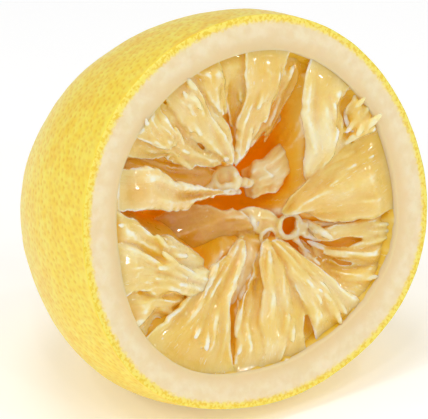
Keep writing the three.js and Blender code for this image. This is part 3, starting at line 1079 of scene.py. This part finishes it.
def pulp_finish(name, pale, amber, orange, rough, scatter, milk_and_sheen_colour=colour(251, 234, 188),
                turns=(2, 7, 14)):
    """Wet flesh: pale near the cut, amber below it and orange in the hollow, painted by depth in place of
    light that travelled through the flesh, with painted shade, glow and highlights.
    """
    finish, tree, shader = new_finish(name)
    # Painted light: the colour turns amber, then orange, with depth below the cut.
    depth = depth_below_cut(tree)
    first = mix(tree, remap(tree, depth, turns[0], turns[1]), pale, amber)
    second = mix(tree, remap(tree, depth, turns[1], turns[2]), first, orange)
    # This amber gives the golden patches and the streaks their own tone, and it is also the painted shade
    # below.
    amber_tone_and_shade = mix(tree, remap(tree, depth, 0.5, turns[1] + 2), amber, orange)
    clear = remap(tree, point_value(tree, "milk"), 0.1, 0.7, 1.0, 0.3)
    golden = maths(tree, "MULTIPLY", clear, remap(tree, grain(tree, 6.0, 1.0), 0.35, 0.62, 0.15, 0.6))
    second = mix(tree, golden, second, amber_tone_and_shade)
    # Painted shade: where other flesh surrounds a point, its colour turns to the deeper amber.
    open_light = shade_inside(tree, 4.0)
    open_share = remap(tree, open_light, 0.25, 0.8)
    # Painted glow: flesh that other flesh surrounds gives off a faint amber light of its own.
    shader.inputs["Emission Color"].default_value = (1.0, 0.66, 0.05, 1.0)
    tree.links.new(remap(tree, open_light, 0.1, 0.75, 0.12, 0.0), shader.inputs["Emission Strength"])
    shaded = mix(tree, open_share, amber_tone_and_shade, second)
    thread = threads(tree, 2.4, 0.25)
    streaked = mix(tree, remap(tree, thread, 0.48, 0.75, 0.0, 0.3), shaded, amber_tone_and_shade)
    # Painted shade: the troughs between crests take the deeper amber.
    crest = maths(tree, "ADD", point_value(tree, "crest"),
                  maths(tree, "MULTIPLY", point_value(tree, "fine_crest"), 3.0))
    crease_shaded = mix(tree, remap(tree, crest, -0.3, 0.05, 0.5, 0.0), streaked, amber_tone_and_shade)
    # The flesh's own milkiness, in clouds, plus a painted sheen that makes the crests paler, both in the
    # milky colour.
    cloud = remap(tree, grain(tree, 5.0, 1.0), 0.3, 0.8)
    milk_and_crest_sheen = maths(tree, "MULTIPLY", point_value(tree, "milk"), cloud)
    milk_and_crest_sheen = maths(tree, "ADD", milk_and_crest_sheen, remap(tree, crest, 0.05, 0.5, 0.0, 0.6))
    near_top = remap(tree, depth, 5.0, 12.0, 1.0, 0.0)
    sheened = mix(tree, maths(tree, "MULTIPLY", milk_and_crest_sheen, near_top), crease_shaded, milk_and_sheen_colour)
    # Painted highlights: pale streaks along the crests and pale specks along the threads. They are
    # colour, so they stay put when the view turns, as real glints would not.
    painted_glint = remap(tree, point_value(tree, "fine_crest"), 0.015, 0.06)
    painted_glint_specks = remap(tree, threads(tree, 4.0, 0.8), 0.62, 0.7, 0.0, 0.8)
    painted_glint = maths(tree, "MAXIMUM", painted_glint, painted_glint_specks)
    painted_glint = maths(tree, "MULTIPLY", painted_glint, remap(tree, grain(tree, 2.6, 1.0), 0.4, 0.58, 0.0, 0.8))
    lit = mix(tree, maths(tree, "MULTIPLY", painted_glint, near_top), sheened, colour(255, 250, 234))
    tree.links.new(lit, shader.inputs["Base Color"])
    tree.links.new(remap(tree, grain(tree, 1.3), 0.3, 0.7, rough - 0.08, rough + 0.12),
                   shader.inputs["Roughness"])
    relief = maths(tree, "ADD", threads(tree, 3.5, 0.5), maths(tree, "MULTIPLY", grain(tree, 0.8), 0.8))
    bump(tree, shader, relief, 0.16, 0.6)
    bump(tree, shader, threads(tree, 1.2, 0.3), 0.10, 0.4, "Coat Normal")
    set_scatter(shader, scatter, 1.8, (1.0, 0.93, 0.45))
    shader.inputs["IOR"].default_value = 1.38
    shader.inputs["Coat Weight"].default_value = 1.0
    shader.inputs["Coat Roughness"].default_value = 0.05
    return finish


def glow(finish, tint, strength, low, high):
    """A painted glow: the deep flesh gives off a little light of its own, by depth below the cut, in place
    of light that reaches it from behind through the rind.
    """
    tree = finish.node_tree
    shader = tree.nodes["Principled BSDF"]
    shader.inputs["Emission Color"].default_value = tint
    share = remap(tree, depth_below_cut(tree), low, high, 0.0, strength)
    tree.links.new(share, shader.inputs["Emission Strength"])


pulp = pulp_finish("pulp", colour(243, 216, 132), colour(238, 192, 50), colour(230, 156, 8), 0.22, 0.9)
skin_film = pulp_finish("segment_skin", colour(245, 218, 144), colour(230, 178, 50),
                        colour(214, 150, 14), 0.25, 0.8)
core_pith = pulp_finish("core_pith", colour(247, 226, 168), colour(244, 216, 134),
                        colour(240, 180, 70), 0.35, 0.7)
bed_flesh = pulp_finish("bed_flesh", colour(242, 206, 104), colour(244, 196, 26),
                        colour(255, 150, 2), 0.35, 0.3, turns=(2, 9, 16))
bed_shader = bed_flesh.node_tree.nodes["Principled BSDF"]
bed_shader.inputs["Coat Weight"].default_value = 0.3
# Painted glow in the deep bed.
glow(bed_flesh, (1.0, 0.54, 0.0, 1.0), 0.12, 6.0, 14.0)

# %% [markdown]
# ## Grow the flesh together
# Lobes, sacs and skins pass through each other so far, and light that scatters inside flesh needs one
# unbroken surface. A voxel remesh melts each group into one skin, and rounds every join as wet pulp
# does. It forgets the points' own values, so they are read back from the nearest old point.


# %% Fuse a piece
def read_values(mesh, name):
    """One value or direction for each point, as an array."""
    layer = mesh.attributes[name]
    wide = 3 if layer.data_type == "FLOAT_VECTOR" else 1
    values = np.empty(len(mesh.vertices) * wide, np.float32)
    layer.data.foreach_get("vector" if wide == 3 else "value", values)
    return values.reshape(-1, wide)


def crest_heights(mesh, passes):
    """How far each point stands out from a smoothed copy of the surface, in millimetres."""
    count = len(mesh.vertices)
    place = np.empty(count * 3, np.float32)
    normal = np.empty(count * 3, np.float32)
    ends = np.empty(len(mesh.edges) * 2, np.int32)
    mesh.vertices.foreach_get("co", place)
    mesh.vertices.foreach_get("normal", normal)
    mesh.edges.foreach_get("vertices", ends)
    place, normal, ends = place.reshape(-1, 3), normal.reshape(-1, 3), ends.reshape(-1, 2)
    first = np.concatenate([ends[:, 0], ends[:, 1]])
    other = np.concatenate([ends[:, 1], ends[:, 0]])
    links = np.maximum(np.bincount(first, minlength=count), 1)
    calm = place.astype(float)
    for _ in range(passes):
        sums = [np.bincount(first, calm[other, axis], minlength=count) for axis in range(3)]
        calm = 0.5 * calm + 0.5 * np.stack(sums, 1) / links[:, None]
    return ((place - calm) * normal).sum(1) / MM


FEWEST_POINTS = 200  # a loose bit with fewer is a speck


def drop_specks(mesh, fewest):
    """Takes out the sealed bubbles and crumbs that the remesh leaves, of fewer points than that."""
    work = bmesh.new()
    work.from_mesh(mesh)
    seen = set()
    specks = []
    for start in work.verts:
        if start in seen:
            continue
        group = [start]
        seen.add(start)
        for vertex in group:
            for edge in vertex.link_edges:
                other = edge.other_vert(vertex)
                if other not in seen:
                    seen.add(other)
                    group.append(other)
        if len(group) < fewest:
            specks += group
    bmesh.ops.delete(work, geom=specks, context="VERTS")
    work.to_mesh(mesh)
    work.free()


def fuse(piece, voxel_mm, finish, keep=("across", "reach", "milk")):
    """Melts a piece into one closed skin and gives its points back their values."""
    old = piece.data
    tree = KDTree(len(old.vertices))
    for index, vertex in enumerate(old.vertices):
        tree.insert(vertex.co, index)
    tree.balance()
    remesh = piece.modifiers.new("remesh", "REMESH")
    remesh.mode = "VOXEL"
    remesh.voxel_size = voxel_mm * MM
    smooth = piece.modifiers.new("smooth", "SMOOTH")
    smooth.factor = 0.5
    smooth.iterations = 3
    graph = bpy.context.evaluated_depsgraph_get()
    graph.update()
    made = bpy.data.meshes.new_from_object(piece.evaluated_get(graph), depsgraph=graph)
    piece.modifiers.clear()
    drop_specks(made, FEWEST_POINTS)
    nearest = np.array([tree.find(vertex.co)[1] for vertex in made.vertices])
    for key in keep:
        if key in old.attributes:
            values = read_values(old, key)[nearest]
            layer = made.attributes.new(key, "FLOAT", "POINT")
            layer.data.foreach_set("value", values.ravel())
    for key, passes in (("crest", 40), ("fine_crest", 6)):
        layer = made.attributes.new(key, "FLOAT", "POINT")
        layer.data.foreach_set("value", crest_heights(made, passes))
    made.polygons.foreach_set("use_smooth", [True] * len(made.polygons))
    made.materials.clear()
    made.materials.append(finish)
    piece.data = made
    print(piece.name, "fused:", len(made.polygons), "faces")


SACS_PER_AREA = 260000.0  # sacs on a square metre
SAC_WIDTH = 0.0012
SAC_LENGTH = 0.0062
SAC_SINK = 0.00057  # how deep a sac's middle lies
sacs = sac_tree()
for number, piece in enumerate(lobe_pieces):
    run_tree(piece, sacs, sacs_per_area=SACS_PER_AREA, width=SAC_WIDTH, length=SAC_LENGTH, sink=SAC_SINK,
             seed=40 + number, finish=pulp)
    fuse(piece, 0.22, pulp)
fuse(bed, 0.3, bed_flesh)
fuse(skins, 0.25, skin_film)
fuse(core, 0.25, core_pith)

# %% [markdown]
# ## Hand the pieces to the frame
# Every piece rides on the fruit's one body and stands for the imported solid.

# %% Ride and replace
pieces = [(rind, "zest"), (bed, "pulp"), (skins, "pith"), (core, "pith")]
pieces += [(piece, "pulp") for piece in lobe_pieces]
for piece, slot in pieces:
    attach(piece, "root")
    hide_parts("lemon_half")
print("pieces:", [piece.name for piece, slot in pieces])

# %% [markdown]
# ## Floor, light and camera
# A pale floor in a bright surrounding suits a pale subject, and a faint glow of its own keeps the
# floor near white, as on a light table. One soft light hangs overhead. Wet flesh sparkles where it
# mirrors something small, so twelve small lights stand in an arc round it. A long lens keeps the cut
# face's outline true.

# %% Floor
FLOOR_SIZE = 4.0
FLOOR_GLOW = 0.16
floor_mesh = bpy.data.meshes.new("floor")
half = FLOOR_SIZE / 2
floor_mesh.from_pydata([(-half, -half, 0), (half, -half, 0), (half, half, 0), (-half, half, 0)], [],
                       [(0, 1, 2, 3)])
floor = bpy.data.objects.new("floor", floor_mesh)
bpy.context.scene.collection.objects.link(floor)
floor_finish, floor_tree, floor_shader = new_finish("pale_floor")
floor_shader.inputs["Base Color"].default_value = (0.97, 0.97, 0.97, 1)
floor_shader.inputs["Roughness"].default_value = 0.8
floor_shader.inputs["Emission Color"].default_value = (1, 1, 1, 1)
floor_shader.inputs["Emission Strength"].default_value = FLOOR_GLOW
floor_mesh.materials.append(floor_finish)

# %% Lights
rim_centre = Vector(SEAT * MM)


def soft_light(name, place, size, power, tint=(1, 1, 1)):
    """An area light at a place round the rim's centre, aimed at it."""
    lamp = bpy.data.lights.new(name, "AREA")
    lamp.shape = "DISK"
    lamp.size = size
    lamp.energy = power
    lamp.color = tint
    holder = bpy.data.objects.new(name, lamp)
    holder.location = rim_centre + Vector(place)
    holder.rotation_euler = (-Vector(place)).to_track_quat("-Z", "Y").to_euler()
    bpy.context.scene.collection.objects.link(holder)


soft_light("overhead", (-0.05, 0.05, 0.6), 0.22, 0.66)
SPARK_LIGHTS = 12
SPARK_AWAY = 0.62
SPARK_SIZE = 0.035
SPARK_POWER = 0.145
for number in range(SPARK_LIGHTS):
    turn = math.radians(-130 + 200 * number / (SPARK_LIGHTS - 1))
    rise = math.radians((16, 38, 58)[number % 3])
    level = SPARK_AWAY * math.cos(rise)
    place = (level * math.sin(turn), -level * math.cos(turn), SPARK_AWAY * math.sin(rise))
    soft_light(f"spark_{number + 1}", place, SPARK_SIZE, SPARK_POWER)

WORLD_STRENGTH = 0.52
world = bpy.data.worlds.new("studio")
world.use_nodes = True
world.node_tree.nodes["Background"].inputs["Color"].default_value = (1, 1, 1, 1)
world.node_tree.nodes["Background"].inputs["Strength"].default_value = WORLD_STRENGTH
bpy.context.scene.world = world
bpy.context.scene.view_settings.view_transform = "Standard"

# %% Camera
AZIMUTH = math.radians(-33)
ELEVATION = math.radians(26.8)
DISTANCE = 15 * RIM_RADIUS * MM
LENS = 252.1
AIM_RIGHT = -6.73
AIM_UP = 0.84

toward = Vector((math.sin(AZIMUTH) * math.cos(ELEVATION), -math.cos(AZIMUTH) * math.cos(ELEVATION),
                 math.sin(ELEVATION)))
right = Vector((math.cos(AZIMUTH), math.sin(AZIMUTH), 0))
up = toward.cross(right)
camera_data = bpy.data.cameras.new("camera")
camera = bpy.data.objects.new("camera", camera_data)
bpy.context.scene.collection.objects.link(camera)
camera_data.lens = LENS
camera_data.sensor_width = 36
camera_data.clip_start = 0.01
camera_data.clip_end = 10
camera.location = rim_centre + toward * DISTANCE
aim = rim_centre + right * (AIM_RIGHT * MM) + up * (AIM_UP * MM)
camera.rotation_mode = "QUATERNION"
camera.rotation_quaternion = (aim - camera.location).to_track_quat("-Z", "Y")
bpy.context.scene.camera = camera
